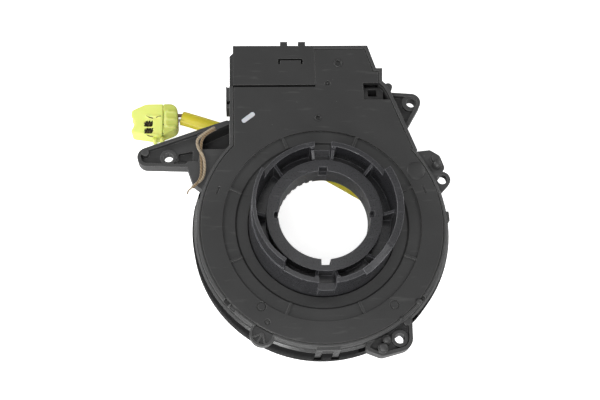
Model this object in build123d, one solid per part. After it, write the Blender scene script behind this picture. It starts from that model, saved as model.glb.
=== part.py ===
# Steering clock spring: stator, rotor, cable chamber and airbag pigtail, in millimetres.
# Origin on the steering shaft axis in the outer face of the rear cover; +Z away from the wheel.
import os
from math import atan2, cos, degrees, hypot, radians, sin, tan
from build123d import *

# --- driving dimensions -------------------------------------------------------------
wall_r = 53.0            # casing outside radius
wall_t = 2.6             # casing wall thickness
rim_w = 1.5              # casing rim beside the cover
rim_slope = 0.8          # sloped edge on top of the casing rim
cover_t = 2.4            # rear cover thickness
cover_gap = 0.15         # cover to casing rim, each side
seam_step = 0.3          # step round the cover's top edge
chamber_depth = 18.2     # casing wall height
block_reach = 29.7       # how far the terminal block stands past the casing wall
block_depth = 16.5       # terminal block height
block_wall = 1.6         # block side and floor thickness
bore_r = 19.0            # shaft bore in the rotor hub
bore_len = 12.0          # length of the shaft bore
bore_t = 2.0             # bore wall thickness
flange_w = 4.9           # hub flange width round the bore
trench_w = 4.4           # width of the trench between flange and collar
collar_t = 2.0           # cam collar thickness at its rim
hub_t = 2.8              # hub wall thickness where it passes the cover
hub_gap = 0.4            # hub to rear cover hole, radial
step_in = 5.7            # hub to the inner step of the cover
step_w = 5.2             # width of the stepped ring in the cover
low_tier = 17.0          # height of the low collar tiers
left_lobe = 28.0         # height of the left cam lobe
right_lobe = 24.0        # height of the right cam lobe
web_t = 1.2              # hub spoke thickness
disc_side = 0.4          # rotor disc to casing wall, radial
disc_gap = 0.2           # rotor disc to front ring lip, axial
skirt_t = 1.95           # front ring skirt thickness
ring_top = -5.5          # top edge of the front ring skirt
ring_gap = 0.05          # casing wall to front ring, radial
ring_lip = 1.8           # front ring lip thickness
lip_w = 1.4              # how far the lip reaches under the rotor disc
floor_z = -30.0          # lowest plane of the wheel side
screw_r = 2.1            # ear screw hole radius
ear_top = -4.0           # top of the ear rails
ear_depth = 6.0          # ear height
rail_t = 1.5             # ear rail thickness
tray_depth = 2.6         # how far the ear floors lie below the rails
tube_r = 3.25            # pigtail tube radius
wire_r = 0.8             # lead wire radius
cable_t = 0.3            # flat cable pack thickness
cable_turns = 3          # turns of the flat cable
sheet_t = 0.3            # slide sheet thickness
pin_w = 0.64             # terminal pin width
socket_wall = 1.3        # stator connector wall thickness

# --- sizes that follow ----------------------------------------------------------------
wall_in = wall_r - wall_t
seat_r = wall_r - rim_w
disc_r = wall_in - disc_side
skirt_in = wall_r + ring_gap
ring_r = skirt_in + skirt_t
lip_top = -chamber_depth
ring_bottom = lip_top - ring_lip
disc_low = lip_top + disc_gap
disc_top = disc_low + 1.4
lip_in = disc_r - lip_w
block_floor = -block_depth + block_wall
block_top = wall_r + block_reach
cover_low = -cover_t
flange_r = bore_r + flange_w
collar_in = flange_r + trench_w
collar_r = collar_in + collar_t
hub_r = collar_in + hub_t
cover_hole = hub_r + hub_gap
step_r = hub_r + step_in
step_out = step_r + step_w

# --- plan outlines --------------------------------------------------------------------
block_left = -38.8
block_outline = [(block_left, wall_r - 23), (block_left, block_top - 1.7), (block_left + 1.6, block_top),
                 (22.7, block_top + 0.2), (26.1, block_top - 10.9), (28.9, block_top - 10.9),
                 (28.6, block_top - 17.2), (30.2, block_top - 18.7), (32.2, block_top - 22.5),
                 (42.2, wall_r - 20.3), (20, wall_r - 33)]
cap_x0, cap_x1, cap_y0, cap_y1 = block_left + 1.6, -1.1, block_top - 18.9, block_top + 0.1
cap_depth = 7.0
groove_w = 1.0
plug_centre = (-73.0, 56.5)
tube_points = [(37.0, 11.5), (8.5, 30.6), (-26.0, 48.4), (-60.8, 59.6)]
house_x0, house_x1, house_y0, house_y1 = -32.6, -4.6, block_top - 17.7, block_top - 0.4
house_top = cover_low - 0.8


# --- small builders -------------------------------------------------------------------
def drum(radius, low, high, x=0.0, y=0.0):
    return Pos(x, y, low) * Cylinder(radius, high - low, align=(Align.CENTER, Align.CENTER, Align.MIN))


def prism(points, low, high):
    return extrude(Pos(0, 0, low) * make_face(Polyline(points, close=True)), high - low)


def brick(x0, x1, y0, y1, low, high):
    return Pos(x0, y0, low) * Box(x1 - x0, y1 - y0, high - low, align=(Align.MIN,) * 3)


def turned(points, start=20.0, sweep=360.0):
    face = make_face(Plane.XZ * Polyline(points, close=True))
    return Rot(0, 0, start) * revolve(face, Axis.Z, sweep)


def arc_wall(r_in, r_out, start, end, low, high):
    return turned([(r_in, low), (r_out, low), (r_out, high), (r_in, high)], start, end - start)


def polar(radius, angle):
    return radius * cos(radians(angle)), radius * sin(radians(angle))


# a place by its distance past the casing wall and its angle round the shaft
def beyond(distance, angle):
    return polar(wall_r + distance, angle)


# a smooth outline drawn round a set of circles, each given as a place and a radius
def around(*spots):
    rings = [Pos(*place) * Circle(radius) for place, radius in spots]
    return make_hull([edge for ring in rings for edge in ring.edges()])


def inset(points, amount):
    face = make_face(Polyline(points, close=True))
    return offset(face, -amount, kind=Kind.INTERSECTION)


def plate(sketch, low, high):
    return extrude(Pos(0, 0, low) * sketch, high - low)


nodes = {}

# --- stator casing: wall, block, ears and lugs ------------------------------------------
block_face = make_face(Polyline(block_outline, close=True))
casing = turned([(wall_in - 1, lip_top), (wall_r, lip_top), (wall_r, -rim_slope), (wall_r - rim_slope, 0),
                 (wall_in - 1, 0)])
casing += plate(block_face, -block_depth, 0)

left_hole = beyond(19.6, 153.9)
upper_hole = beyond(17.5, 53.95)
lower_hole = beyond(4.35, -57.75)


# an ear is a tray: a railed rim round a floor, with a ring about its screw hole
def ear(face, hole, boss_r):
    body = plate(face, ear_top - ear_depth, ear_top)
    body -= plate(offset(face, -rail_t), ear_top - tray_depth, ear_top)
    return body + drum(boss_r, ear_top - ear_depth, ear_top - 0.8, *hole)


left_face = around((beyond(27.8, 156.7), 4.3), ((block_left - 1.2, 47.6), 1.2),
                   (beyond(9.9, 153.1), 1.4), ((block_left - 1.2, 31), 1.2))
left_web = around((beyond(9.9, 153.1), 1.4), (beyond(4.7, 159.4), 0.8), (beyond(-2.0, 161.5), 1.0),
                  (beyond(-1.0, 147.0), 1.0))
upper_face = around((upper_hole, 4.1), ((33.0, 60.4), 1.3), ((38.4, 46.0), 1.2), ((30.0, 54.0), 1.0))
lower_face = around((lower_hole, 5.4), (beyond(4.2, -66.0), 3.6), (beyond(2.2, -70.2), 2.2),
                    (beyond(-0.4, -49.0), 1.6), (beyond(-2.0, -62.0), 2.0))
ears = ear(left_face, left_hole, 3.5) + ear(upper_face, upper_hole, 4.0) + ear(lower_face, lower_hole, 3.5)
ears += plate(left_web, ear_top - ear_depth, ear_top)
post_at = beyond(5.2, 30.4)
clip_plate = around((beyond(0.3, 36.2), 1.6), (beyond(4.6, 34.0), 1.4), (post_at, 2.4),
                    (beyond(5.2, 26.0), 1.6), (beyond(-2.0, 22.0), 2.0))
loop_at = beyond(3.4, 21.0)
clip_loop = around((loop_at, 3.6), (beyond(-2.0, 15.5), 1.6), (beyond(-1.0, 27.0), 1.6))
ears += plate(clip_plate, -10.0, -2.6) + plate(clip_loop, -6.4, -3.2)
ears -= drum(2.1, -12.0, 0, *loop_at)
ears += Pos(*post_at, -6.0) * Cone(2.8, 1.7, 4.8, align=(Align.CENTER, Align.CENTER, Align.MIN))
half_lug = beyond(0.1, -119.2)
ears += drum(5.3, -4.5, -0.3, *half_lug) + arc_wall(wall_r - 1, wall_r + 1.1, 0.8, 5.2, -6.0, -0.6)
latch_legs = ((-4.3, -1.7), (3.0, 5.7))
leg_low = -15.5
for low_x, high_x in latch_legs:
    ears += brick(low_x, high_x, -wall_r - 0.9, -wall_r + 0.6, leg_low, -0.2)
ears += brick(latch_legs[0][0], latch_legs[1][1], -wall_r - 0.9, -wall_r + 0.6, -1.8, -0.2)
gap_x0, gap_x1, gap_y0 = -51.2, block_left - 0.2, wall_r - 17.7
deep_gap = [(gap_x1, gap_y0 + 11.7), (-45.0, gap_y0 + 9.0), (gap_x0, gap_y0 + 6.0), (gap_x0 + 0.6, gap_y0),
            (gap_x1, gap_y0)]
tub = offset(make_face(Polyline(deep_gap, close=True)), rail_t, kind=Kind.INTERSECTION)
ears += plate(tub, -block_depth, ear_top)
shelf_points = [(gap_x0 - 0.3, gap_y0), (gap_x1, gap_y0 + 0.3), (gap_x1, wall_r - 23), beyond(-1, 150),
                beyond(1.5, 157), beyond(6.5, 152)]
ears += prism(shelf_points, ear_top - 3, ear_top)
ears -= prism(deep_gap, block_floor, 0)
ears -= prism([(-61.1, 30.6), (-54.8, 29.6), (-54.8, 35.3), (-61.1, 34.2)], ear_top - ear_depth + 1.0, 0)
ears -= drum(wall_in, lip_top - 1, 1)
casing += ears
casing += drum(1.5, ear_top - ear_depth, ear_top + 0.8, *beyond(29.3, 155.8))
ear_posts = ((beyond(2.2, -63.2), 1.7, 1.6), (beyond(4.6, -66.2), 2.1, 1.0), (beyond(0.9, -51.2), 1.5, 1.2))
for place, size, rise in ear_posts:
    casing += drum(size, ear_top - ear_depth, ear_top + rise, *place)
for place in (left_hole, upper_hole, lower_hole):
    casing -= drum(screw_r, -30, 0, *place)
casing += brick(block_left - 1.5, block_left + 1, block_top - 29.2, block_top - 19.2, -11.0, -1.2)
casing -= drum(0.9, -5.0, 0, block_left - 0.4, block_top - 26.8)
casing += drum(1.8, -14.0, -1.6, 31.3, block_top - 19.3)

# hollows: cable chamber, block cavity, cover seat, cable gate and connector mouth
hollow = plate(inset(block_outline, block_wall), block_floor, 0) - drum(wall_r, -30, 1)
casing -= drum(wall_in, -30, 1)
casing -= hollow
seat = inset(block_outline, rim_w) + Circle(seat_r)
casing -= plate(seat, cover_low, 1)
casing -= brick(-8.0, 6.0, wall_in - 2.4, wall_r + 1.5, -15.0, 0)
casing -= brick(block_left - 1, cap_x1, cap_y0 - 0.6, cap_y1 + 1, -cap_depth, 1)
casing -= brick(house_x0 - 0.4, house_x1 + 0.4, house_y0, house_y1 + 2, block_floor, 0)
for angle in (-140.5, -39.5):
    casing -= Rot(0, 0, angle) * brick(seat_r - 0.9, wall_r + 1, -1.4, 1.4, -4.2, 1)
casing -= Rot(0, 0, -136.6) * brick(seat_r - 0.9, wall_r + 1, -1.5, 1.5, cover_low, 1)
# the half-round lug is dished, with three ribs
dish = drum(4.4, -1.5, 1, *half_lug)
for angle in (-160, -120, -80):
    dish -= Pos(*half_lug, 0) * Rot(0, 0, angle) * brick(0, 6, -0.35, 0.35, -2, -0.4)
casing -= dish
# pad under the square window in the cover, and webs that stiffen the block floor
window_x0, window_x1, window_y0, window_y1 = 20.0, 30.2, block_top - 26.1, block_top - 18.1
pad = brick(window_x0 + 0.2, window_x1 - 1.0, window_y0 + 0.2, window_y1 - 0.2, -block_depth, -4.6)
casing += pad - brick(22.4, 26.4, block_top - 22.6, block_top - 19.4, -12.0, 0)
for x in (2.0, 9.0, 16.0):
    casing += brick(x, x + 1.2, wall_r + 9.5, block_top - 1.2, -block_depth, -block_depth + 5.0)
nodes["stator_casing"] = casing

# --- rear cover: stepped round plate running on over the block ----------------------------
full_face = inset(block_outline, rim_w + cover_gap) + Circle(seat_r - cover_gap)
top_face = inset(block_outline, rim_w + cover_gap + seam_step) + Circle(seat_r - cover_gap - seam_step)
cover = plate(full_face, cover_low, -seam_step) + plate(top_face, -seam_step, 0)
cover += Rot(0, 0, -136.6) * brick(seat_r - 3, wall_r - 0.5, -1.3, 1.3, cover_low, -0.5)
cover -= brick(cap_x0 - 3, cap_x1 + 0.1, cap_y0 - groove_w, block_top + 8, -5, 1)
cover -= drum(cover_hole, -5, 1)
cover -= turned([(cover_hole - 1, -1.6), (cover_hole - 1, 1), (step_out, 1), (step_out, -0.8), (step_r, -0.8),
                 (step_r - 0.8, -1.6)])
for n in range(8):
    cover += Rot(0, 0, 22.5 + 45 * n) * brick(step_r - 0.2, step_out + 0.2, -0.5, 0.5, -1.2, -0.15)
for inward, angle, size in ((9.0, -126.5, 2.0), (7.5, -51.2, 2.0), (4.8, -119.7, 1.2)):
    x, y = beyond(-inward, angle)
    cover -= drum(size, -0.4, 1, x, y) - drum(size - 0.5, -0.4, 1, x, y)
cover += drum(3.4, -1, 0.25, *beyond(-5.6, 29.1))
dimples = ((-0.4, wall_r - 5.0, 0.9), (9.3, block_top - 8.4, 1.2), (4.4, block_top - 18.2, 1.3),
           (-28.0, wall_r - 22.4, 0.8))
for x, y, size in dimples:
    cover -= drum(size, -0.5, 1, x, y)
for angle in (18.4, 161.0):
    cover -= arc_wall(seat_r - 5.5, seat_r - 4.7, angle - 2.2, angle + 2.2, -0.5, 1)
cover -= brick(window_x0, window_x1 + 4, window_y0, window_y1, -5, 1)
slot_x, slot_y, slot_turn, slot_len, slot_w, slot_depth = -30.7, wall_r - 4.6, 38.0, 6.8, 2.1, 1.2
slot_face = Pos(slot_x, slot_y) * Rot(0, 0, slot_turn) * SlotOverall(slot_len, slot_w)
cover -= plate(slot_face, -slot_depth, 1)
nodes["rear_cover"] = cover
nodes["slot_insert"] = plate(slot_face, -slot_depth, -0.05)

# --- connector cover: a skirted cap with a flexing latch tongue ----------------------------
cap = brick(cap_x0, cap_x1, cap_y0, cap_y1, -cap_depth, 0)
cap -= brick(cap_x0 + 1.3, cap_x1 + 1, cap_y0 - 1, cap_y1 - 1.3, -cap_depth - 1, -2.0)
cap -= brick(house_x0 - 0.4, house_x1 + 0.4, cap_y1 - 2, cap_y1 + 1, -cap_depth - 1, house_top + 0.2)
for x in (-16.2, -8.2):
    cap += brick(x, x + 3.2, cap_y1 - 1, cap_y1 + 2.0, -2.0, -0.1)
tongue_x0, tongue_x1, tongue_y = -17.2, -6.4, cap_y1 - 7.1
cap -= brick(tongue_x0, tongue_x1, tongue_y, tongue_y + 0.8, -3, 1)
for x in (tongue_x0, tongue_x1 - 0.8):
    cap -= brick(x, x + 0.8, tongue_y - 1.9, tongue_y + 0.8, -3, 1)
nodes["connector_cover"] = cap

# --- stator connector: housing open towards +Y, pins on a carrier ---------------------------
house = brick(house_x0, house_x1, house_y0, house_y1, block_floor, house_top)
sock_x0, sock_x1 = house_x0 + socket_wall, house_x1 - socket_wall
sock_low, sock_high = block_floor + socket_wall + 0.8, house_top - socket_wall
socket_back = house_y0 + 5.0
house -= brick(sock_x0, sock_x1, socket_back, house_y1 + 1, sock_low, sock_high)
nodes["stator_connector"] = house
pins = brick(sock_x0 + 1.5, sock_x1 - 1.5, socket_back, socket_back + 0.6, sock_low + 1, sock_high - 1)
pin_rows = (sock_low + 2.0, sock_high - 2.0)
for n in range(8):
    x = sock_x0 + 2.6 + n * (sock_x1 - sock_x0 - 5.2) / 7
    for z in pin_rows:
        pins += brick(x - pin_w / 2, x + pin_w / 2, socket_back, house_y1 - 3.8, z - pin_w / 2, z + pin_w / 2)
nodes["stator_terminals"] = pins

# --- cable chamber -------------------------------------------------------------------------
sheet_low, sheet_high = disc_top + sheet_t, cover_low - sheet_t
nodes["upper_slide_sheet"] = drum(wall_in - 0.6, sheet_high, cover_low) - drum(hub_r + 3.2, -30, 1)
nodes["lower_slide_sheet"] = drum(disc_r - 1.0, disc_top, sheet_low) - drum(hub_r + 1.2, -30, 1)
cable_low, cable_high = sheet_low + 0.5, sheet_high - 0.5
spiral_in, spiral_out = hub_r + 3.4, wall_in - 0.9
step = (spiral_out - spiral_in) / (2 * cable_turns)


# a spiral of half circles about two centres half a step apart, swept as one thin wall
def spiral(first_radius, thick):
    edges = []
    for n in range(2 * cable_turns):
        radius = first_radius + n * step
        centre = 0.0 if n % 2 == 0 else step
        start = 0 if n % 2 == 0 else 180
        edges.append((centre, radius, start))
    inner = [CenterArc((c, 0), r, s, 180) for c, r, s in edges]
    outer = [CenterArc((c, 0), r + thick, s, 180) for c, r, s in edges]
    caps = [Line(inner[0] @ 0, outer[0] @ 0), Line(inner[-1] @ 1, outer[-1] @ 1)]
    return make_face(inner + outer + caps)


nodes["flat_cable"] = plate(spiral(spiral_in, cable_t), cable_low, cable_high)
end_low, end_high = sheet_low, -4.9
nodes["inner_cable_block"] = arc_wall(hub_r, hub_r + 2.2, -6, 6, end_low, end_high)
outer_block = brick(-7.4, 5.4, wall_r + 0.2, wall_r + 8.0, block_floor, -4.0)
outer_block += brick(-7.4, 5.4, wall_in + 0.4, wall_r + 1.0, -14.6, -4.0)
outer_block -= brick(-6.0, 4.0, wall_in, wall_r + 6.0, -13.0, -5.4)
nodes["outer_cable_block"] = outer_block

# --- front ring: dark skirt with a lip that traps the rotor disc ----------------------------
front = turned([(lip_in, ring_bottom), (ring_r - 0.4, ring_bottom), (ring_r, ring_bottom + 0.6),
                (ring_r, -9.0), (ring_r - 1.0, -7.2), (ring_r - 1.0, ring_top), (skirt_in, ring_top),
                (skirt_in, lip_top), (lip_in, lip_top)])
relief = 0.3
front -= plate(offset(block_face, relief, kind=Kind.INTERSECTION), -block_depth - relief, 0)
front -= plate(offset(tub, relief, kind=Kind.INTERSECTION), -block_depth - relief, 0)
front -= arc_wall(skirt_in - 1, ring_r + 5, 134, 168, ear_top - ear_depth - relief, 0)
front -= arc_wall(skirt_in - 1, ring_r + 5, 12, 50, ear_top - ear_depth - relief, 0)
front -= arc_wall(skirt_in - 1, ring_r + 5, -75.5, -44.0, ear_top - ear_depth - relief, 0)
front -= arc_wall(skirt_in - 1, ring_r + 5, 0.0, 6.0, -6.0 - relief, 0)
for low_x, high_x in latch_legs:
    front -= brick(low_x - relief, high_x + relief, -ring_r - 5, -wall_r + 8, leg_low - relief, 0)
nodes["front_ring"] = front

# --- retaining band lying on the bracket rails ----------------------------------------------
band_points = [beyond(10.8, 133.35), beyond(12.55, 143.95), beyond(1.5, 153.15), beyond(4.8, 160.9)]
band_line = FilletPolyline(*band_points, radius=3.4)
band_face = trace(band_line, line_width=2.4)
nodes["retaining_band"] = plate(band_face, ear_top, ear_top + 0.6)

# --- rotor hub: bored flange, trench, spokes and the stepped cam collar ---------------------
collar_foot = 0.2
trench = 5.0
shelf = trench - 1.4
flange_under = bore_len - 1.8
hub = turned([(bore_r, 0), (bore_r, bore_len), (flange_r, bore_len), (flange_r, trench),
              (collar_in, trench), (collar_in, low_tier), (collar_r, low_tier), (hub_r, collar_foot),
              (hub_r, disc_low), (collar_in, disc_low), (collar_in, shelf),
              (flange_r - 1.4, shelf), (flange_r - 1.4, flange_under), (bore_r + bore_t, flange_under),
              (bore_r + bore_t, 0)])
# key slots in the bore: one right through, three from the flange face
hub -= brick(-1.9, 1.9, -bore_r - 2.4, -bore_r + 1, -1, bore_len + 1)
for angle, half_w in ((0, 1.3), (90, 1.75), (180, 1.3)):
    hub -= Rot(0, 0, angle) * brick(bore_r - 1, bore_r + 1.7, -half_w, half_w, bore_len * 0.55, bore_len + 1)
for n in range(9):
    hub -= Rot(0, 0, 104 + 9 * n) * brick(bore_r - 1, bore_r + 1.0, -0.7, 0.7, -1, 1.4)
# gates through the collar between the paired spokes
gate_w = 3.5
hub -= brick(-gate_w, gate_w, collar_in - 1, hub_r + 2, trench + 0.4, low_tier + 1)
hub -= brick(-gate_w, gate_w, -hub_r - 2, -collar_in + 1, 9.0, low_tier + 1)
left_wall = arc_wall(collar_in, collar_r - 0.5, 150, 234, low_tier - 1, left_lobe)
right_wall = arc_wall(collar_in, collar_r + 0.9, -60, 32, low_tier - 1, right_lobe)
# the right lobe climbs from the low tier along a straight ramp
ramp_mid = -47.5
ramp_half = collar_r * tan(radians(12.5))
ramp = make_face(Plane.YZ * Polyline([(-ramp_half - 6, low_tier), (-ramp_half, low_tier),
                                      (ramp_half, right_lobe), (ramp_half, right_lobe + 3),
                                      (-ramp_half - 6, right_lobe + 3)], close=True))
right_wall -= Rot(0, 0, ramp_mid) * (Pos(bore_r, 0, 0) * extrude(ramp, trench_w + 14))
face_block = arc_wall(collar_in + 0.5, hub_r + 0.2, -96.4, -83.6, collar_foot + 0.5, 9.0)
paired = (81, 99, -81, -99)
web_face = make_face(Plane.XZ * Polyline([(flange_r - 0.6, trench - 0.5), (collar_in + 0.6, trench - 0.5),
                                          (collar_in + 0.6, low_tier - 0.6), (flange_r - 0.6, 10.4)],
                                         close=True))
web = Pos(0, web_t / 2, 0) * extrude(web_face, web_t)
webs = [Rot(0, 0, angle) * web for angle in (0, 45, -45, 135, -135, 180) + paired]
for angle in paired:
    x, y = polar(collar_in, angle)
    webs.append(drum(0.9, trench - 0.5, low_tier - 0.2, x, y))
hub = hub.fuse(left_wall, right_wall, face_block)
hub = hub.fuse(*webs)
nodes["rotor_hub"] = hub

# --- rotor disc: wheel-side plate that carries the hub, with hollow drive bosses ------------
disc_in = collar_in - 1.8
disc = turned([(disc_in, ring_bottom), (disc_in, disc_low), (hub_r + 0.1, disc_low), (hub_r + 0.1, disc_top),
               (disc_r, disc_top), (disc_r, disc_low), (lip_in - disc_side, disc_low),
               (lip_in - disc_side, ring_bottom)])
for x, y in ((-40.0, -6.0), (40.0, -9.0), (18.5, 39.5)):
    disc += drum(3.6, floor_z, ring_bottom, x, y) - drum(2.0, floor_z, ring_bottom + 0.5, x, y)
for angle in (205, 225, 315, 335):
    disc += Rot(0, 0, angle) * brick(collar_in - 0.8, lip_in - 2.6, -0.7, 0.7, ring_bottom - 1.4, ring_bottom)
nodes["rotor_disc"] = disc

# --- rotor switch connector, open towards the wheel -----------------------------------------
switch_x, switch_y0, switch_y1 = 13.0, -45.0, -33.0
switch = brick(-switch_x, switch_x, switch_y0, switch_y1, floor_z, ring_bottom)
socket_floor = ring_bottom - 1.6
switch -= brick(-switch_x + 1.4, switch_x - 1.4, switch_y0 + 1.4, switch_y1 - 1.4, floor_z - 1, socket_floor)
switch += brick(-3.0, 3.0, switch_y0 - 0.9, switch_y0, floor_z + 1.0, floor_z + 3.0)
nodes["switch_connector"] = switch
switch_pins = brick(-9.5, 9.5, -41.5, -36.5, socket_floor - 0.6, socket_floor)
for n in range(6):
    x = -8.0 + 3.2 * n
    for y in (-40.3, -37.7):
        pin = brick(-pin_w / 2, pin_w / 2, -pin_w / 2, pin_w / 2, floor_z + 4.6, socket_floor)
        switch_pins += Pos(x, y) * pin
nodes["switch_terminals"] = switch_pins

# --- pigtail: clamp, tube, lead wires and airbag plug ---------------------------------------
tube_z = floor_z + tube_r
spine = [(x, y, tube_z) for x, y in tube_points]


# length of each run, and the arc radius each corner takes from its shorter neighbour
def corner_radii(points):
    runs = [hypot(b[0] - a[0], b[1] - a[1]) for a, b in zip(points, points[1:])]
    heads = [atan2(b[1] - a[1], b[0] - a[0]) for a, b in zip(points, points[1:])]
    turns = [abs(b - a) for a, b in zip(heads, heads[1:])]
    return [0.45 * min(r0, r1) / tan(t / 2) for r0, r1, t in zip(runs, runs[1:], turns)]


radii = corner_radii(tube_points)
print("pigtail tube corner radii mm:", [round(r, 1) for r in radii])
path = FilletPolyline(*spine, radius=radii)
start_head = degrees(atan2(tube_points[1][1] - tube_points[0][1], tube_points[1][0] - tube_points[0][0]))
section = Plane(origin=path @ 0, z_dir=path % 0) * Circle(tube_r)
tube = sweep(section, path=path)
nodes["pigtail_tube"] = tube
print("pigtail tube length mm:", round(path.length, 2), "volume / (section * length):",
      round(tube.volume / (path.length * 3.14159265 * tube_r ** 2), 4))
clamp = Pos(*tube_points[0], 0) * Rot(0, 0, start_head) * brick(-4.0, 5.0, -5.6, 5.6, floor_z, ring_bottom)
saddle = Plane(origin=spine[0], x_dir=(-sin(radians(start_head)), cos(radians(start_head)), 0),
               z_dir=(cos(radians(start_head)), sin(radians(start_head)), 0))
saddle_face = Circle(tube_r) + Pos(0, -tube_r) * Rectangle(2 * tube_r, 2 * tube_r)
clamp -= extrude(saddle * saddle_face, 30, both=True)
nodes["pigtail_clamp"] = clamp

plug_top = -21.6
plug_split = -69.2
plug_x, plug_y = plug_centre
plug_face = around(((plug_x - 8.8, plug_y + 3.8), 1.7), ((plug_x - 8.8, plug_y - 4.6), 1.7),
                   ((plug_x - 3.6, plug_y + 5.8), 2.2), ((plug_x + 6.6, plug_y + 4.4), 3.8),
                   ((plug_x + 6.8, plug_y - 1.6), 3.8), ((plug_x + 1.0, plug_y - 5.8), 2.0))
plug_all = plate(plug_face, floor_z, plug_top) - drum(5.0, floor_z - 1, 0, plug_x - 14.2, plug_y - 1.4)
plug = plug_all - brick(plug_split, plug_split + 30, plug_y - 15, plug_y + 15, floor_z - 1, 0)
for low in (plug_y - 6.2, plug_y - 2.9):
    plug -= brick(plug_split - 8.0, plug_split - 4.6, low, low + 2.4, -27.0, 0)
plug -= brick(plug_split - 17.0, plug_split - 11.2, plug_y - 4.6, plug_y + 2.6, -27.8, -22.8)
plug -= brick(plug_split - 7.8, plug_split - 4.8, plug_y - 3.9, plug_y - 2.8, -27.0, -26.6)
plug += brick(plug_split - 7.4, plug_split - 1.4, plug_y + 1.6, plug_y + 2.4, plug_top, plug_top + 0.4)
plug += brick(plug_split - 7.6, plug_split - 2.0, plug_y - 7.6, plug_y - 6.8, plug_top, plug_top + 0.4)
nodes["airbag_plug"] = plug
rear = plug_all - brick(plug_split - 30, plug_split, plug_y - 15, plug_y + 15, floor_z - 1, 0)
rear -= brick(plug_split - 1, plug_split + 1.0, plug_y - 4.0, plug_y + 4.5, plug_top - 0.6, 0)
for low in (plug_y - 3.4, plug_y + 0.2, plug_y + 3.8):
    rear += brick(plug_split + 2.0, plug_split + 5.6, low, low + 1.0, plug_top, plug_top + 0.4)
wire_start = plug_split + 2.7
wire_y0, wire_y1 = tube_points[-1][1] - 1.3, tube_points[-1][1] + 1.3
align_low = (Align.CENTER, Align.CENTER, Align.MIN)
wires = []
for y in (wire_y0, wire_y1):
    wires.append(Pos(wire_start, y, tube_z) * Rot(0, 90, 0) * Cylinder(wire_r, 6.0, align=align_low))
    rear -= Pos(wire_start, y, tube_z) * Rot(0, 90, 0) * Cylinder(wire_r, 12, align=align_low)
nodes["airbag_plug_cover"] = rear
nodes["lead_wire_pale"], nodes["lead_wire_brown"] = wires[0] - tube, wires[1] - tube
contacts = brick(plug_split - 7.8, plug_split - 4.8, plug_y - 6.0, plug_y - 0.7, -27.0, -26.6)
for y in (plug_y - 5.0, plug_y - 1.7):
    contacts += brick(plug_split - 7.2, plug_split - 5.4, y - 0.7, y + 0.7, -27.0, -23.0)
nodes["airbag_contacts"] = contacts

os.makedirs("parts", exist_ok=True)
for name, shape in nodes.items():
    shape.label = name
    export_step(shape, f"parts/{name}.step")
    box = shape.bounding_box()
    print(f"{name:20s} solids {len(shape.solids())} volume {shape.volume:9.1f}",
          "x", round(box.min.X, 1), round(box.max.X, 1), "y", round(box.min.Y, 1), round(box.max.Y, 1),
          "z", round(box.min.Z, 1), round(box.max.Z, 1))
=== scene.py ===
import bpy
import bmesh
import math
from mathutils import Matrix, Vector


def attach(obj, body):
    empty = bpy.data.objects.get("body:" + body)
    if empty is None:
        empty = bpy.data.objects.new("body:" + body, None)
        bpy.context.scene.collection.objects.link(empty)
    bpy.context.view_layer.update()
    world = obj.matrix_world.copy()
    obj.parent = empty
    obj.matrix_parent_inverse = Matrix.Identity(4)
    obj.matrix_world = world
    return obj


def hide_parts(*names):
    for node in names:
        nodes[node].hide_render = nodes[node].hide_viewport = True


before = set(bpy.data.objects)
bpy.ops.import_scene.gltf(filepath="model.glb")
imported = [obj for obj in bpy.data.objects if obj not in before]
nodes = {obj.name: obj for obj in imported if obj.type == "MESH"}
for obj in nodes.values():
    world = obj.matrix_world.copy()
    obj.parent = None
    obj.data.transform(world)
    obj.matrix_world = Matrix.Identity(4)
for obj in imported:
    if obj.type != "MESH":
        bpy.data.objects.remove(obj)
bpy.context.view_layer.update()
mm = 0.001
print("frame loaded")


def toLinear(colour):
    # sRGB hex to linear RGBA
    parts = [int(colour[i:i + 2], 16) / 255 for i in (1, 3, 5)]
    parts = [c / 12.92 if c <= 0.04045 else ((c + 0.055) / 1.055) ** 2.4 for c in parts]
    return (*parts, 1.0)


def addNode(tree, kind, settings=None, links=None):
    # one node, its own settings, then its sockets: a value is set and a socket is linked
    node = tree.nodes.new(kind)
    for key, value in (settings or {}).items():
        setattr(node, key, value)
    for key, value in (links or {}).items():
        if isinstance(value, bpy.types.NodeSocket):
            tree.links.new(value, node.inputs[key])
        else:
            node.inputs[key].default_value = value
    return node


def newMaterial(name):
    material = bpy.data.materials.new(name)
    material.use_nodes = True
    tree = material.node_tree
    tree.nodes.clear()
    output = addNode(tree, "ShaderNodeOutputMaterial")
    return material, tree, output


# camera at the column side, tipped back from straight above, its places in mm
cameraPlace = dict(right=(0.99848, -0.02646, 0.04827), up=(0.00958, 0.94699, 0.32113),
                   back=(-0.05421, -0.32018, 0.94580), eye=(-33.8, -134.6, 428.3),
                   lens=64.23, sensor=36, nearest=10.0)
cameraData = bpy.data.cameras.new("studioCamera")
cameraData.lens = cameraPlace["lens"]
cameraData.sensor_width = cameraPlace["sensor"]
cameraData.clip_start = cameraPlace["nearest"] * mm
studioCamera = bpy.data.objects.new("studioCamera", cameraData)
bpy.context.scene.collection.objects.link(studioCamera)
turn = Matrix((cameraPlace["right"], cameraPlace["up"], cameraPlace["back"])).transposed()
studioCamera.matrix_world = Matrix.Translation(Vector(cameraPlace["eye"]) * mm) @ turn.to_4x4()
bpy.context.scene.camera = studioCamera

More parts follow.
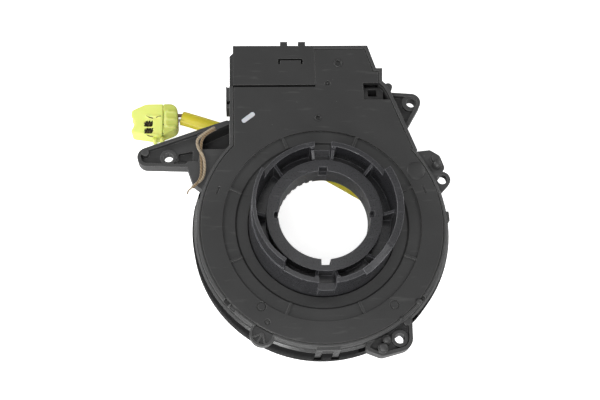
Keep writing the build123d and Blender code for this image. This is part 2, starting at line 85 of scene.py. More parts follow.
# soft studio light over a pale table, places and sizes in metres
lightPlan = dict(
    top=dict(spot=(-0.18, -0.42, 0.76), size=0.45, watts=3.7),
    key=dict(spot=(-0.72, 0.34, 0.46), size=0.32, watts=4.0),
    glint=dict(spot=(0.02, 0.20, 0.85), size=0.18, watts=0.35),
    front=dict(spot=(0.20, -0.72, 0.30), size=0.4, watts=1.8),
    band=dict(spot=(-0.38, -0.67, 0.18), size=0.42, watts=2.8),
    side=dict(spot=(0.62, 0.30, 0.42), size=0.35, watts=2.4),
)
for lightName, plan in lightPlan.items():
    lamp = bpy.data.lights.new(lightName + "Light", "AREA")
    lamp.shape = "DISK"
    lamp.size = plan["size"]
    lamp.energy = plan["watts"]
    lampObject = bpy.data.objects.new(lightName + "Light", lamp)
    bpy.context.scene.collection.objects.link(lampObject)
    lampObject.location = plan["spot"]
    lampObject.rotation_euler = (-Vector(plan["spot"])).to_track_quat("-Z", "Y").to_euler()

# the room is dim to the object and white to the camera
roomGlow = dict(colour="#ffffff", onObject=0.22, toCamera=1.0)
world = bpy.data.worlds.new("paleRoom")
bpy.context.scene.world = world
world.use_nodes = True
worldSky = world.node_tree.nodes["Background"]
worldSky.inputs["Color"].default_value = toLinear(roomGlow["colour"])
worldRay = addNode(world.node_tree, "ShaderNodeLightPath")
worldGlow = addNode(world.node_tree, "ShaderNodeMapRange", None,
                    {"Value": worldRay.outputs["Is Camera Ray"], "To Min": roomGlow["onObject"],
                     "To Max": roomGlow["toCamera"]})
world.node_tree.links.new(worldGlow.outputs[0], worldSky.inputs["Strength"])
bpy.context.scene.view_settings.view_transform = "Standard"
print("studio lit")

# a Mix node's colour sockets share their names with its other ones, so they go by number
mixFactor, mixFirst, mixSecond, mixResult = 0, 6, 7, 2

# what every moulded plastic shares: how its textures are read, and how deep its grain and glow go
mouldedLook = dict(cloudDetail=3.0, grainDetail=2.0, scuffDetail=4.0, dragTurn=(0.2, 0.0, 0.6),
                   dragStretch=(0.15, 1.0, 1.0), scuffFrom=0.62, scuffTo=0.74, dustRim=0.035,
                   dustCore=0.02, edgeFrom=0.98, edgeTo=0.80, edgeSamples=4, grainFrom=0.3, grainTo=0.7,
                   reliefMm=0.05, glowMm=0.8)


def finishMoulded(name, finish):
    # moulded plastic: cloudy flow colour, fine spark-eroded grain, faint scuffs and dust, and edges painted
    # paler, partly rubbed wear and partly painted highlight
    material, tree, output = newMaterial(name)
    look = mouldedLook
    place = addNode(tree, "ShaderNodeTexCoord")
    cloud = addNode(tree, "ShaderNodeTexNoise", dict(noise_dimensions="3D"),
                    {"Vector": place.outputs["Object"], "Scale": 1 / (finish["cloudMm"] * mm),
                     "Detail": look["cloudDetail"]})
    grain = addNode(tree, "ShaderNodeTexNoise", dict(noise_dimensions="3D"),
                    {"Vector": place.outputs["Object"], "Scale": 1 / (finish["grainMm"] * mm),
                     "Detail": look["grainDetail"]})
    drag = addNode(tree, "ShaderNodeMapping", None,
                   {"Vector": place.outputs["Object"], "Rotation": look["dragTurn"],
                    "Scale": look["dragStretch"]})
    scuff = addNode(tree, "ShaderNodeTexNoise", dict(noise_dimensions="3D"),
                    {"Vector": drag.outputs[0], "Scale": 1 / (finish["scuffMm"] * mm),
                     "Detail": look["scuffDetail"]})
    dust = addNode(tree, "ShaderNodeTexVoronoi", dict(voronoi_dimensions="3D"),
                   {"Vector": place.outputs["Object"], "Scale": 1 / (finish["dustMm"] * mm)})
    tint = addNode(tree, "ShaderNodeMix", dict(data_type="RGBA"),
                   {mixFactor: cloud.outputs["Fac"], mixFirst: toLinear(finish["dark"]),
                    mixSecond: toLinear(finish["light"])})
    scuffed = addNode(tree, "ShaderNodeMapRange", None,
                      {"Value": scuff.outputs["Fac"], "From Min": look["scuffFrom"],
                       "From Max": look["scuffTo"], "To Min": 0.0, "To Max": finish["scuff"]})
    dusted = addNode(tree, "ShaderNodeMapRange", None,
                     {"Value": dust.outputs["Distance"], "From Min": look["dustRim"],
                      "From Max": look["dustCore"], "To Min": 0.0, "To Max": finish["dust"]})
    rounded = addNode(tree, "ShaderNodeBevel", dict(samples=look["edgeSamples"]),
                      {"Radius": finish["edgeMm"] * mm})
    shape = addNode(tree, "ShaderNodeNewGeometry")
    bend = addNode(tree, "ShaderNodeVectorMath", dict(operation="DOT_PRODUCT"),
                   {0: rounded.outputs["Normal"], 1: shape.outputs["Normal"]})
    # where the rounded normal bends away, the edge colour is painted on: partly rubbed wear, partly painted
    # edge highlight
    rubbedAndHighlit = addNode(tree, "ShaderNodeMapRange", None,
                     {"Value": bend.outputs["Value"], "From Min": look["edgeFrom"],
                      "From Max": look["edgeTo"], "To Min": 0.0, "To Max": finish["wearAndHighlight"]})
    marks = addNode(tree, "ShaderNodeMath", dict(operation="MAXIMUM"),
                    {0: scuffed.outputs[0], 1: dusted.outputs[0]})
    wornAndHighlit = addNode(tree, "ShaderNodeMath", dict(operation="MAXIMUM"),
                   {0: marks.outputs[0], 1: rubbedAndHighlit.outputs[0]})
    skin = addNode(tree, "ShaderNodeMix", dict(data_type="RGBA"),
                   {mixFactor: wornAndHighlit.outputs[0], mixFirst: tint.outputs[mixResult],
                    mixSecond: toLinear(finish["edge"])})
    sheen = addNode(tree, "ShaderNodeMapRange", None,
                    {"Value": grain.outputs["Fac"], "From Min": look["grainFrom"],
                     "From Max": look["grainTo"], "To Min": finish["smooth"], "To Max": finish["rough"]})
    relief = addNode(tree, "ShaderNodeBump", None,
                     {"Strength": finish["relief"], "Distance": look["reliefMm"] * mm,
                      "Height": grain.outputs["Fac"], "Normal": rounded.outputs["Normal"]})
    shader = addNode(tree, "ShaderNodeBsdfPrincipled", None,
                     {"Base Color": skin.outputs[mixResult], "Roughness": sheen.outputs[0],
                      "Normal": relief.outputs["Normal"], "IOR": finish["ior"],
                      "Specular IOR Level": finish["gloss"], "Subsurface Weight": finish["glow"],
                      "Subsurface Scale": look["glowMm"] * mm})
    tree.links.new(shader.outputs[0], output.inputs[0])
    return material


# each finish's edge colour and its share paint the edges paler: partly rubbed wear, partly painted
# highlight
finishes = {
    # glass-filled PBT, moulded: charcoal, satin, with edges painted pale, partly rubbed wear and partly
    # painted highlight
    "glassFilledPbt": dict(
        dark="#2a2a2a", light="#3b3b3b", edge="#8c8c8a", cloudMm=9.0, grainMm=0.35, scuffMm=1.4,
        dustMm=7.0, edgeMm=0.35, wearAndHighlight=0.55, scuff=0.10, dust=0.35, smooth=0.42, rough=0.58, relief=0.25,
        ior=1.55, gloss=0.5, glow=0.0),
    # glass-filled PBT from a polished ring of the mould, for the snap bead: slicker than the casing, and a
    # shade paler as painted highlight for its bright band
    "polishedHighlitPbt": dict(
        dark="#343434", light="#454545", edge="#8c8c8a", cloudMm=9.0, grainMm=0.35, scuffMm=1.4,
        dustMm=7.0, edgeMm=0.3, wearAndHighlight=0.3, scuff=0.10, dust=0.2, smooth=0.20, rough=0.28, relief=0.05,
        ior=1.55, gloss=0.6, glow=0.0),
    # PBT cover, fine spark-eroded face: a shade flatter than the casing
    "sparkErodedPbt": dict(
        dark="#212121", light="#2d2d2d", edge="#727270", cloudMm=14.0, grainMm=0.45, scuffMm=1.8,
        dustMm=6.0, edgeMm=0.35, wearAndHighlight=0.55, scuff=0.14, dust=0.45, smooth=0.46, rough=0.62, relief=0.35,
        ior=1.55, gloss=0.5, glow=0.0),
    # acetal, moulded: slick charcoal with soft broad highlights, and strongly painted pale edges, partly
    # rubbed wear and partly painted highlight
    "acetalHub": dict(
        dark="#222224", light="#2e2e31", edge="#96969a", cloudMm=10.0, grainMm=0.5, scuffMm=1.2,
        dustMm=8.0, edgeMm=0.45, wearAndHighlight=0.7, scuff=0.10, dust=0.25, smooth=0.24, rough=0.36, relief=0.05,
        ior=1.48, gloss=0.5, glow=0.0),
    # PBT front ring, dark moulding compound: near-black and dull
    "carbonBlackPbt": dict(
        dark="#060606", light="#0a0a0b", edge="#1c1c1d", cloudMm=12.0, grainMm=0.4, scuffMm=1.5,
        dustMm=9.0, edgeMm=0.3, wearAndHighlight=0.4, scuff=0.05, dust=0.2, smooth=0.55, rough=0.7, relief=0.15,
        ior=1.5, gloss=0.08, glow=0.0),
    # ABS, polished mould: near-black and glossy
    "polishedAbs": dict(
        dark="#121213", light="#1a1a1b", edge="#4c4c4e", cloudMm=12.0, grainMm=0.6, scuffMm=1.5,
        dustMm=9.0, edgeMm=0.4, wearAndHighlight=0.3, scuff=0.04, dust=0.2, smooth=0.16, rough=0.26, relief=0.06,
        ior=1.53, gloss=0.5, glow=0.0),
    # natural nylon, moulded: cool pale grey
    "naturalNylon": dict(
        dark="#b9bbc0", light="#c6c9ce", edge="#dcdee2", cloudMm=6.0, grainMm=0.5, scuffMm=1.0,
        dustMm=9.0, edgeMm=0.2, wearAndHighlight=0.2, scuff=0.0, dust=0.0, smooth=0.4, rough=0.55, relief=0.15,
        ior=1.53, gloss=0.5, glow=0.1),
    # polyester film: milky
    "polyesterFilm": dict(
        dark="#d6d4cb", light="#e4e2da", edge="#f0efe9", cloudMm=12.0, grainMm=0.8, scuffMm=1.5,
        dustMm=9.0, edgeMm=0.1, wearAndHighlight=0.1, scuff=0.0, dust=0.0, smooth=0.2, rough=0.35, relief=0.05,
        ior=1.57, gloss=0.5, glow=0.0),
    # PVC sleeve, extruded: soft yellow with a broad waxy highlight
    "extrudedPvc": dict(
        dark="#d8c722", light="#e0d23a", edge="#e6dc60", cloudMm=5.0, grainMm=0.4, scuffMm=1.0,
        dustMm=9.0, edgeMm=0.1, wearAndHighlight=0.1, scuff=0.04, dust=0.0, smooth=0.34, rough=0.46, relief=0.12,
        ior=1.53, gloss=0.5, glow=0.08),
    # PBT plug, moulded: yellow-green, a little translucent
    "yellowPbt": dict(
        dark="#dce46d", light="#e6ed85", edge="#f4f8b4", cloudMm=5.0, grainMm=0.3, scuffMm=1.0,
        dustMm=9.0, edgeMm=0.25, wearAndHighlight=0.3, scuff=0.0, dust=0.0, smooth=0.35, rough=0.5, relief=0.15,
        ior=1.55, gloss=0.5, glow=0.15),
    # the plug's rear cover, the same PBT coloured a shade darker and greener
    "greenPbt": dict(
        dark="#bec65a", light="#ced66c", edge="#e6ee9c", cloudMm=4.0, grainMm=0.3, scuffMm=1.0,
        dustMm=9.0, edgeMm=0.25, wearAndHighlight=0.3, scuff=0.0, dust=0.0, smooth=0.35, rough=0.5, relief=0.15,
        ior=1.55, gloss=0.5, glow=0.15),
    # PVC wire covers, extruded: one pale pink-grey, one brown
    "palePvc": dict(
        dark="#cfc6c8", light="#dcd6d8", edge="#e8e6e8", cloudMm=2.0, grainMm=0.3, scuffMm=1.0,
        dustMm=9.0, edgeMm=0.1, wearAndHighlight=0.1, scuff=0.0, dust=0.0, smooth=0.35, rough=0.5, relief=0.1,
        ior=1.53, gloss=0.5, glow=0.0),
    "brownPvc": dict(
        dark="#8a6a5c", light="#a07f70", edge="#b39585", cloudMm=2.0, grainMm=0.3, scuffMm=1.0,
        dustMm=9.0, edgeMm=0.1, wearAndHighlight=0.1, scuff=0.0, dust=0.0, smooth=0.35, rough=0.5, relief=0.1,
        ior=1.53, gloss=0.5, glow=0.0),
    # dark brown and wet-looking, for the plug's latch combs, and as painted shade along its moulded lines
    "darkLatchAndLineShade": dict(
        dark="#241d0c", light="#3a3014", edge="#544820", cloudMm=1.0, grainMm=0.3, scuffMm=1.0,
        dustMm=9.0, edgeMm=0.1, wearAndHighlight=0.2, scuff=0.0, dust=0.0, smooth=0.3, rough=0.45, relief=0.1,
        ior=1.5, gloss=0.5, glow=0.0),
}
materials = {name: finishMoulded(name, finish) for name, finish in finishes.items()}

# tinned brass, stamped: warm metal with a fine drawn grain
brassLook = dict(colour="#cdb880", grainMm=0.4, smooth=0.22, rough=0.38)
brass, brassTree, brassOut = newMaterial("tinnedBrass")
brassPlace = addNode(brassTree, "ShaderNodeTexCoord")
brassGrain = addNode(brassTree, "ShaderNodeTexNoise", dict(noise_dimensions="3D"),
                     {"Vector": brassPlace.outputs["Object"], "Scale": 1 / (brassLook["grainMm"] * mm)})
brassSheen = addNode(brassTree, "ShaderNodeMapRange", None,
                     {"Value": brassGrain.outputs["Fac"], "To Min": brassLook["smooth"],
                      "To Max": brassLook["rough"]})
brassShader = addNode(brassTree, "ShaderNodeBsdfPrincipled", None,
                      {"Base Color": toLinear(brassLook["colour"]), "Metallic": 1.0,
                       "Roughness": brassSheen.outputs[0]})
brassTree.links.new(brassShader.outputs[0], brassOut.inputs[0])
materials["tinnedBrass"] = brass

# cotton yarn, spun and twisted: matt tan, its plies lie slantwise, about 0.8 mm apart
# each yarn's two tones: a painted-shade tone for the grooves between plies and a painted-lit tone for their
# crowns
yarnTones = {"paleYarn": ("#8c7d67", "#a5967f"), "brownYarn": ("#6b5a42", "#877256")}
# waveSpan is how far apart in metres the bands of a diagonal wave lie at a scale of 1
yarnLook = dict(plyMm=0.794, waveSpan=0.363, wander=3.0, wanderDetail=2.0, fuzzMm=0.25, fuzzDetail=4.0,
                fuzzShare=0.4, relief=0.7, reliefMm=0.15, rough=0.9, gloss=0.2, sheen=0.4, sheenRough=0.5)
for yarnName, (shadeTone, sunTone) in yarnTones.items():
    yarn, yarnTree, yarnOut = newMaterial(yarnName)
    yarnPlace = addNode(yarnTree, "ShaderNodeTexCoord")
    plies = addNode(yarnTree, "ShaderNodeTexWave", dict(wave_type="BANDS", bands_direction="DIAGONAL"),
                    {"Vector": yarnPlace.outputs["Object"],
                     "Scale": yarnLook["waveSpan"] / (yarnLook["plyMm"] * mm),
                     "Distortion": yarnLook["wander"], "Detail": yarnLook["wanderDetail"]})
    fuzz = addNode(yarnTree, "ShaderNodeTexNoise", dict(noise_dimensions="3D"),
                   {"Vector": yarnPlace.outputs["Object"], "Scale": 1 / (yarnLook["fuzzMm"] * mm),
                    "Detail": yarnLook["fuzzDetail"]})
    # the ply bands that raise the relief also paint the grooves in shade and the crowns lit
    yarnTint = addNode(yarnTree, "ShaderNodeMix", dict(data_type="RGBA"),
                       {mixFactor: plies.outputs["Fac"], mixFirst: toLinear(shadeTone),
                        mixSecond: toLinear(sunTone)})
    yarnHeight = addNode(yarnTree, "ShaderNodeMath", dict(operation="MULTIPLY_ADD"),
                         {0: fuzz.outputs["Fac"], 1: yarnLook["fuzzShare"], 2: plies.outputs["Fac"]})
    yarnRelief = addNode(yarnTree, "ShaderNodeBump", None,
                         {"Strength": yarnLook["relief"], "Distance": yarnLook["reliefMm"] * mm,
                          "Height": yarnHeight.outputs[0]})
    yarnShader = addNode(yarnTree, "ShaderNodeBsdfPrincipled", None,
                         {"Base Color": yarnTint.outputs[mixResult], "Roughness": yarnLook["rough"],
                          "Normal": yarnRelief.outputs[0], "Specular IOR Level": yarnLook["gloss"],
                          "Sheen Weight": yarnLook["sheen"], "Sheen Roughness": yarnLook["sheenRough"]})
    yarnTree.links.new(yarnShader.outputs[0], yarnOut.inputs[0])
    materials[yarnName] = yarn

nodeFinish = dict(
    stator_casing="glassFilledPbt", rear_cover="sparkErodedPbt", connector_cover="sparkErodedPbt",
    slot_insert="naturalNylon", front_ring="carbonBlackPbt", retaining_band="brownYarn",
    stator_connector="polishedAbs", stator_terminals="tinnedBrass", upper_slide_sheet="polyesterFilm",
    lower_slide_sheet="polyesterFilm", flat_cable="polyesterFilm", outer_cable_block="naturalNylon",
    inner_cable_block="naturalNylon", rotor_hub="acetalHub", rotor_disc="glassFilledPbt",
    switch_connector="polishedAbs", switch_terminals="tinnedBrass", pigtail_clamp="glassFilledPbt",
    pigtail_tube="extrudedPvc", lead_wire_pale="palePvc", lead_wire_brown="brownPvc",
    airbag_plug="yellowPbt", airbag_plug_cover="greenPbt", airbag_contacts="tinnedBrass")
for nodeName, finishName in nodeFinish.items():
    for materialSlot in nodes[nodeName].material_slots:
        materialSlot.material = materials[finishName]
print("materials ready")


def addPiece(pieceName, data, finishName, bodyName):
    # a finished piece from a mesh or curve, riding on its body
    piece = bpy.data.objects.new(pieceName, data)
    bpy.context.scene.collection.objects.link(piece)
    piece.data.materials.append(materials[finishName])
    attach(piece, bodyName)
    return piece


# corners nearer to each other than this, in mm, are one corner
weldMm = 0.002


def mergedCopy(nodeName):
    # a node's mesh with its split corners joined
    shape = bmesh.new()
    shape.from_mesh(nodes[nodeName].data)
    bmesh.ops.remove_doubles(shape, verts=shape.verts, dist=weldMm * mm)
    return shape


def shadeSmooth(shape, sharpest):
    # smooth faces, with edges sharper than the given angle in degrees kept crisp
    for face in shape.faces:
        face.smooth = True
    for edge in shape.edges:
        edge.smooth = edge.calc_face_angle(0.0) < math.radians(sharpest)


def meshOf(name, shape):
    mesh = bpy.data.meshes.new(name)
    shape.to_mesh(mesh)
    shape.free()
    return mesh


def addBlock(shape, size, x, y, top, lean=0.0):
    # a block in mm, turned clockwise by lean degrees, with the middle of its top at x, y, top
    block = bmesh.ops.create_cube(shape, size=1.0)["verts"]
    leanTurn = Matrix.Rotation(math.radians(-lean), 3, "Z")
    middle = Vector((x, y, top - size[2] / 2))
    bmesh.ops.scale(shape, verts=block, vec=Vector(size) * mm)
    bmesh.ops.rotate(shape, verts=block, cent=(0, 0, 0), matrix=leanTurn)
    bmesh.ops.translate(shape, verts=block, vec=middle * mm)


def easeBlocks(shape, plan):
    # every edge of the blocks rounded
    bmesh.ops.bevel(shape, geom=shape.edges[:], offset=plan["easeMm"] * mm, affect="EDGES",
                    segments=plan["easeSegments"], profile=0.5, material=-1)


def smoothLine(name, runs, radius, spanSteps, roundSteps):
    # a round line of one smooth curve along each run of control points, in mm
    line = bpy.data.curves.new(name, "CURVE")
    line.dimensions = "3D"
    for points in runs:
        spline = line.splines.new("NURBS")
        spline.points.add(len(points) - 1)
        for point, spot in zip(spline.points, points):
            point.co = (*[c * mm for c in spot], 1)
        spline.order_u = 3
        spline.use_endpoint_u = True
        spline.resolution_u = spanSteps
    line.bevel_depth = radius * mm
    line.bevel_resolution = roundSteps
    line.use_fill_caps = True
    return line


# the big mouldings get true rounded edges on a merged copy
edgeEase = dict(flatAngle=1.0, sharpAngle=35, bevelAngle=40, segments=2)
roundEdges = dict(
    casingShell=dict(node="stator_casing", edgeMm=0.25, finish="glassFilledPbt", body="stator",
                     slot="casing_plastic"),
    rearCover=dict(node="rear_cover", edgeMm=0.2, finish="sparkErodedPbt", body="stator",
                   slot="cover_plastic"),
    socketCover=dict(node="connector_cover", edgeMm=0.2, finish="sparkErodedPbt", body="stator",
                     slot="cover_plastic"),
    skirtRing=dict(node="front_ring", edgeMm=0.25, finish="carbonBlackPbt", body="stator",
                   slot="dark_gloss"),
    camHub=dict(node="rotor_hub", edgeMm=0.5, finish="acetalHub", body="rotor", slot="hub_plastic"),
)
for pieceName, plan in roundEdges.items():
    moulding = mergedCopy(plan["node"])
    bmesh.ops.dissolve_limit(moulding, angle_limit=math.radians(edgeEase["flatAngle"]),
                             verts=moulding.verts, edges=moulding.edges, use_dissolve_boundaries=False,
                             delimit={"NORMAL"})
    shadeSmooth(moulding, edgeEase["sharpAngle"])
    copyMesh = meshOf(pieceName, moulding)
    copyPiece = addPiece(pieceName, copyMesh, plan["finish"], plan["body"])
    eased = copyPiece.modifiers.new("easedEdge", "BEVEL")
    eased.width = plan["edgeMm"] * mm
    eased.segments = edgeEase["segments"]
    eased.limit_method = "ANGLE"
    eased.angle_limit = math.radians(edgeEase["bevelAngle"])
    eased.use_clamp_overlap = True
    eased.harden_normals = False
    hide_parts(plan["node"])
print("edges rounded")

# the pigtail sleeve follows one smooth line from the clamp to the plug
pigtail = dict(points=((37.0, 11.5), (8.5, 30.6), (-26.0, 48.4), (-60.8, 59.6)), low=-30.0, radius=3.25,
               length=109.6, spanSteps=24, roundSteps=8)
sleeveRun = [(x, y, pigtail["low"] + pigtail["radius"]) for x, y in pigtail["points"]]
sleeveLine = smoothLine("pigtailSleeve", [sleeveRun], pigtail["radius"], pigtail["spanSteps"],
                        pigtail["roundSteps"])
sleeve = addPiece("pigtailSleeve", sleeveLine, "extrudedPvc", "rotor")
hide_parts("pigtail_tube")
print("pigtail laid")

# a snap bead runs round the -Y side of the casing wall, just above the front ring, with a gap at the ear
snapBead = dict(radius=53.0, out=1.25, low=-5.42, high=-4.3, crown=0.25, runs=((166, 291), (308, 371)),
                steps=90, easeMm=0.3, easeSegments=3, easeAngle=40)
beadSection = ((0.0, snapBead["low"]), (snapBead["out"], snapBead["low"]),
               (snapBead["crown"], snapBead["high"]), (0.0, snapBead["high"]))
beadShape = bmesh.new()
for beadStart, beadEnd in snapBead["runs"]:
    startTurn = Matrix.Rotation(math.radians(beadStart), 3, "Z")
    section = [beadShape.verts.new(startTurn @ Vector((snapBead["radius"] + out, 0, z)) * mm)
               for out, z in beadSection]
    startFace = beadShape.faces.new(section)
    bmesh.ops.spin(beadShape, geom=[startFace], cent=(0, 0, 0), axis=(0, 0, 1), dvec=(0, 0, 0),
                   angle=math.radians(beadEnd - beadStart), steps=snapBead["steps"], use_merge=False,
                   use_duplicate=False)
bmesh.ops.recalc_face_normals(beadShape, faces=beadShape.faces[:])
beadMesh = meshOf("casingSnapBead", beadShape)
# the bead's paler charcoal is painted highlight
beadPiece = addPiece("casingSnapBead", beadMesh, "polishedHighlitPbt", "stator")
beadEase = beadPiece.modifiers.new("easedEdge", "BEVEL")
beadEase.width = snapBead["easeMm"] * mm
beadEase.segments = snapBead["easeSegments"]
beadEase.angle_limit = math.radians(snapBead["easeAngle"])
print("snap bead turned")

# turned lumps: the clip's post, domes on the lower ear and the rim, and on the cover a soft blister, a nub,
# two wells with raised lips and two pips
lumpForm = dict(foot=0.6, arcStep=15, arcs=7, pinch=0.3, steps=40, sharpAngle=40)
turnedLumps = dict(
    casingPosts=dict(finish="glassFilledPbt", slot="casing_plastic", lumps=(
        dict(at=(50.6, 26.6, -2.6), reach=2.3, rise=3.2, crown=0.62),
        dict(at=(24.9, -49.3, -2.5), reach=1.6, rise=0.9, crown=0.4),
        dict(at=(23.4, -52.5, -3.1), reach=2.0, rise=1.1, crown=0.4),
        dict(at=(38.6, -34.2, -0.1), reach=1.4, rise=0.7, crown=0.5))),
    coverBlisters=dict(finish="sparkErodedPbt", slot="cover_plastic", lumps=(
        dict(at=(41.0, 23.2, -0.05), reach=4.1, rise=0.7, crown=0.05),
        dict(at=(31.0, -41.3, -0.05), reach=0.9, rise=0.6, crown=0.3),
        dict(at=(-0.4, 48.0, 0.0), reach=1.6, rise=0.35, well=0.85),
        dict(at=(9.3, 74.3, 0.0), reach=2.1, rise=0.35, well=1.15),
        dict(at=(4.4, 64.5, -0.5), reach=0.6, rise=0.5, crown=0.4),
        dict(at=(-28.0, 30.6, -0.5), reach=0.35, rise=0.4, crown=0.4))),
)


def lumpOutline(lump):
    # half a section from the foot up, as (out, up) in mm
    reach, rise, foot = lump["reach"], lump["rise"], -lumpForm["foot"]
    arcs = [math.radians(lumpForm["arcStep"] * n) for n in range(lumpForm["arcs"])]
    if "well" in lump:
        # a half-round lip about a well
        well = lump["well"]
        lip = (reach - well) / 2
        lipArc = [(well + lip + lip * math.cos(2 * a), rise * math.sin(2 * a)) for a in arcs]
        return [(well, foot), (reach, foot), *lipArc, (well, foot)]
    # a straight-sided foot, then a quarter-round crown
    crown = lump["crown"]
    waist = reach * (1 - lumpForm["pinch"] * crown)
    crownArc = [(waist * math.cos(a), rise * (crown + (1 - crown) * math.sin(a))) for a in arcs]
    return [(0.0, foot), (reach, foot), (reach, 0.0), *crownArc]


for pieceName, plan in turnedLumps.items():
    lumpShape = bmesh.new()
    for lump in plan["lumps"]:
        corners = [lumpShape.verts.new((Vector(lump["at"]) + Vector((out, 0, up))) * mm)
                   for out, up in lumpOutline(lump)]
        edges = [lumpShape.edges.new(pair) for pair in zip(corners, corners[1:])]
        bmesh.ops.spin(lumpShape, geom=corners + edges, cent=Vector(lump["at"]) * mm, axis=(0, 0, 1),
                       dvec=(0, 0, 0), angle=math.tau, steps=lumpForm["steps"], use_merge=True,
                       use_duplicate=False)
    bmesh.ops.remove_doubles(lumpShape, verts=lumpShape.verts[:], dist=weldMm * mm)
    bmesh.ops.recalc_face_normals(lumpShape, faces=lumpShape.faces[:])
    shadeSmooth(lumpShape, lumpForm["sharpAngle"])
    addPiece(pieceName, meshOf(pieceName, lumpShape), plan["finish"], "stator")
print("lumps turned")

# the airbag plug has soft moulded edges all over
softPlug = dict(voxelMm=0.25, passes=22, softness=0.5, parts={
    "airbag_plug": ("plugBody", "yellowPbt", "plug_yellow"),
    "airbag_plug_cover": ("plugRear", "greenPbt", "plug_green")})
for nodeName, (pieceName, finishName, slotName) in softPlug["parts"].items():
    plugMesh = meshOf(pieceName, mergedCopy(nodeName))
    plugPiece = addPiece(pieceName, plugMesh, finishName, "rotor")
    skinned = plugPiece.modifiers.new("evenSkin", "REMESH")
    skinned.mode = "VOXEL"
    skinned.voxel_size = softPlug["voxelMm"] * mm
    skinned.use_smooth_shade = True
    softened = plugPiece.modifiers.new("softEdge", "SMOOTH")
    softened.factor = softPlug["softness"]
    softened.iterations = softPlug["passes"]
    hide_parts(nodeName)
print("plug softened")

# slanted latch combs in the two windows of the plug, each with a bar across its fins
latchCombs = dict(windows=((-75.4, 51.4), (-75.7, 54.9)), top=-21.5, fin=(0.5, 3.0, 3.2), fins=3, step=1.15,
                  lean=26, bar=(4.0, 0.55, 3.2), barShift=0.1, barLean=4, easeMm=0.1, easeSegments=2)
combShape = bmesh.new()
for windowX, windowY in latchCombs["windows"]:
    for n in range(latchCombs["fins"]):
        finX = windowX + (n - (latchCombs["fins"] - 1) / 2) * latchCombs["step"]
        addBlock(combShape, latchCombs["fin"], finX, windowY, latchCombs["top"], latchCombs["lean"])
    barY = windowY + latchCombs["barShift"]
    addBlock(combShape, latchCombs["bar"], windowX, barY, latchCombs["top"], latchCombs["barLean"])
easeBlocks(combShape, latchCombs)
combMesh = meshOf("plugLatchCombs", combShape)
addPiece("plugLatchCombs", combMesh, "darkLatchAndLineShade", "rotor")
print("latch combs placed")

# moulded lines on the plug's upper face, laid on as thin dark brown tubes: painted shade along the lines
plugLines = dict(radius=0.2, top=-21.45, spanSteps=12, roundSteps=2, lines=(
    ((-76.6, 58.6), (-75.4, 57.8), (-73.6, 57.4)), ((-72.3, 57.8), (-71.2, 58.4), (-70.2, 58.5)),
    ((-76.4, 49.5), (-75.4, 48.6), (-73.4, 48.3)), ((-69.0, 54.4), (-68.9, 54.2), (-68.7, 54.1)),
    ((-69.3, 50.2), (-69.2, 50.0), (-69.0, 49.9))))
lineRuns = [[(x, y, plugLines["top"]) for x, y in line] for line in plugLines["lines"]]
lineCurve = smoothLine("plugLines", lineRuns, plugLines["radius"], plugLines["spanSteps"],
                       plugLines["roundSteps"])
addPiece("plugLines", lineCurve, "darkLatchAndLineShade", "rotor")

# two moulded feet under the plug's -Y edge
plugFeet = dict(spots=((-72.7, 47.5), (-69.5, 47.8)), top=-22.9, size=(2.0, 2.8, 3.2), easeMm=0.8,
                easeSegments=4)
footShape = bmesh.new()
for footX, footY in plugFeet["spots"]:
    addBlock(footShape, plugFeet["size"], footX, footY, plugFeet["top"])
easeBlocks(footShape, plugFeet)
for face in footShape.faces:
    face.smooth = True
footMesh = meshOf("plugFeet", footShape)
addPiece("plugFeet", footMesh, "yellowPbt", "rotor")
print("plug feet placed")
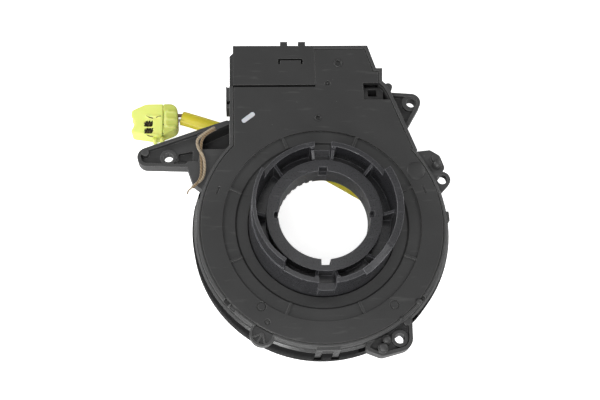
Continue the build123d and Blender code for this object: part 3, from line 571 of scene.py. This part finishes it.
# the retaining tie: two loose cotton strands that cross, with a frayed lower end
tieForm = dict(spanSteps=10, roundSteps=4)
tieStrands = dict(
    paleStrand=dict(finish="paleYarn", radius=0.62, points=(
        (-44.6, 46.4, -6.4), (-45.4, 45.4, -3.4), (-50.3, 42.0, -3.3), (-52.8, 39.8, -3.3),
        (-52.9, 37.2, -3.3), (-51.9, 34.3, -2.4), (-50.4, 32.1, -2.5), (-49.7, 29.4, -3.2),
        (-49.5, 25.8, -3.3), (-49.9, 22.8, -3.3), (-50.9, 20.9, -3.3), (-53.3, 19.3, -3.4),
        (-55.0, 17.6, -3.6))),
    brownStrand=dict(finish="brownYarn", radius=0.62, points=(
        (-44.2, 45.9, -6.4), (-45.3, 44.3, -3.4), (-48.9, 42.2, -3.3), (-50.6, 40.0, -3.3),
        (-51.1, 37.8, -3.3), (-51.3, 35.0, -3.4), (-51.2, 31.7, -3.4), (-51.0, 28.0, -3.3),
        (-51.0, 25.0, -3.3), (-51.2, 22.5, -3.3), (-52.1, 20.3, -3.3), (-53.6, 18.6, -3.4),
        (-54.6, 17.7, -3.6))),
    frayedEnd=dict(finish="paleYarn", radius=0.36, points=(
        (-54.2, 18.3, -3.4), (-55.8, 17.0, -3.6), (-56.8, 16.2, -4.0), (-57.0, 15.0, -4.6))),
)
for strandName, strand in tieStrands.items():
    strandLine = smoothLine(strandName, [strand["points"]], strand["radius"], tieForm["spanSteps"],
                            tieForm["roundSteps"])
    strandPiece = addPiece(strandName, strandLine, strand["finish"], "stator")
    if strandName == "brownStrand":
        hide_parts("retaining_band")
print("tie laid")

# plain pale table, white to the camera
tableLook = dict(halfWidth=2000.0, level=-30.02, colour="#f4f4f4", rough=0.9, gloss=0.1,
                 glowColour="#ffffff", glow=0.85)
tableShape = bmesh.new()
bmesh.ops.create_grid(tableShape, x_segments=1, y_segments=1, size=tableLook["halfWidth"] * mm)
bmesh.ops.translate(tableShape, verts=tableShape.verts, vec=(0, 0, tableLook["level"] * mm))
tableMesh = meshOf("paleTable", tableShape)
paleTable = bpy.data.objects.new("paleTable", tableMesh)
bpy.context.scene.collection.objects.link(paleTable)
# white laminate board: matt, and glowing for camera rays only
tableFinish, tableTree, tableOut = newMaterial("whiteLaminate")
tableRay = addNode(tableTree, "ShaderNodeLightPath")
tableGlow = addNode(tableTree, "ShaderNodeMath", dict(operation="MULTIPLY"),
                    {0: tableRay.outputs["Is Camera Ray"], 1: tableLook["glow"]})
tableShader = addNode(tableTree, "ShaderNodeBsdfPrincipled", None,
                      {"Base Color": toLinear(tableLook["colour"]), "Roughness": tableLook["rough"],
                       "Specular IOR Level": tableLook["gloss"],
                       "Emission Color": toLinear(tableLook["glowColour"]),
                       "Emission Strength": tableGlow.outputs[0]})
tableTree.links.new(tableShader.outputs[0], tableOut.inputs[0])
tableMesh.materials.append(tableFinish)

print("scene ready")
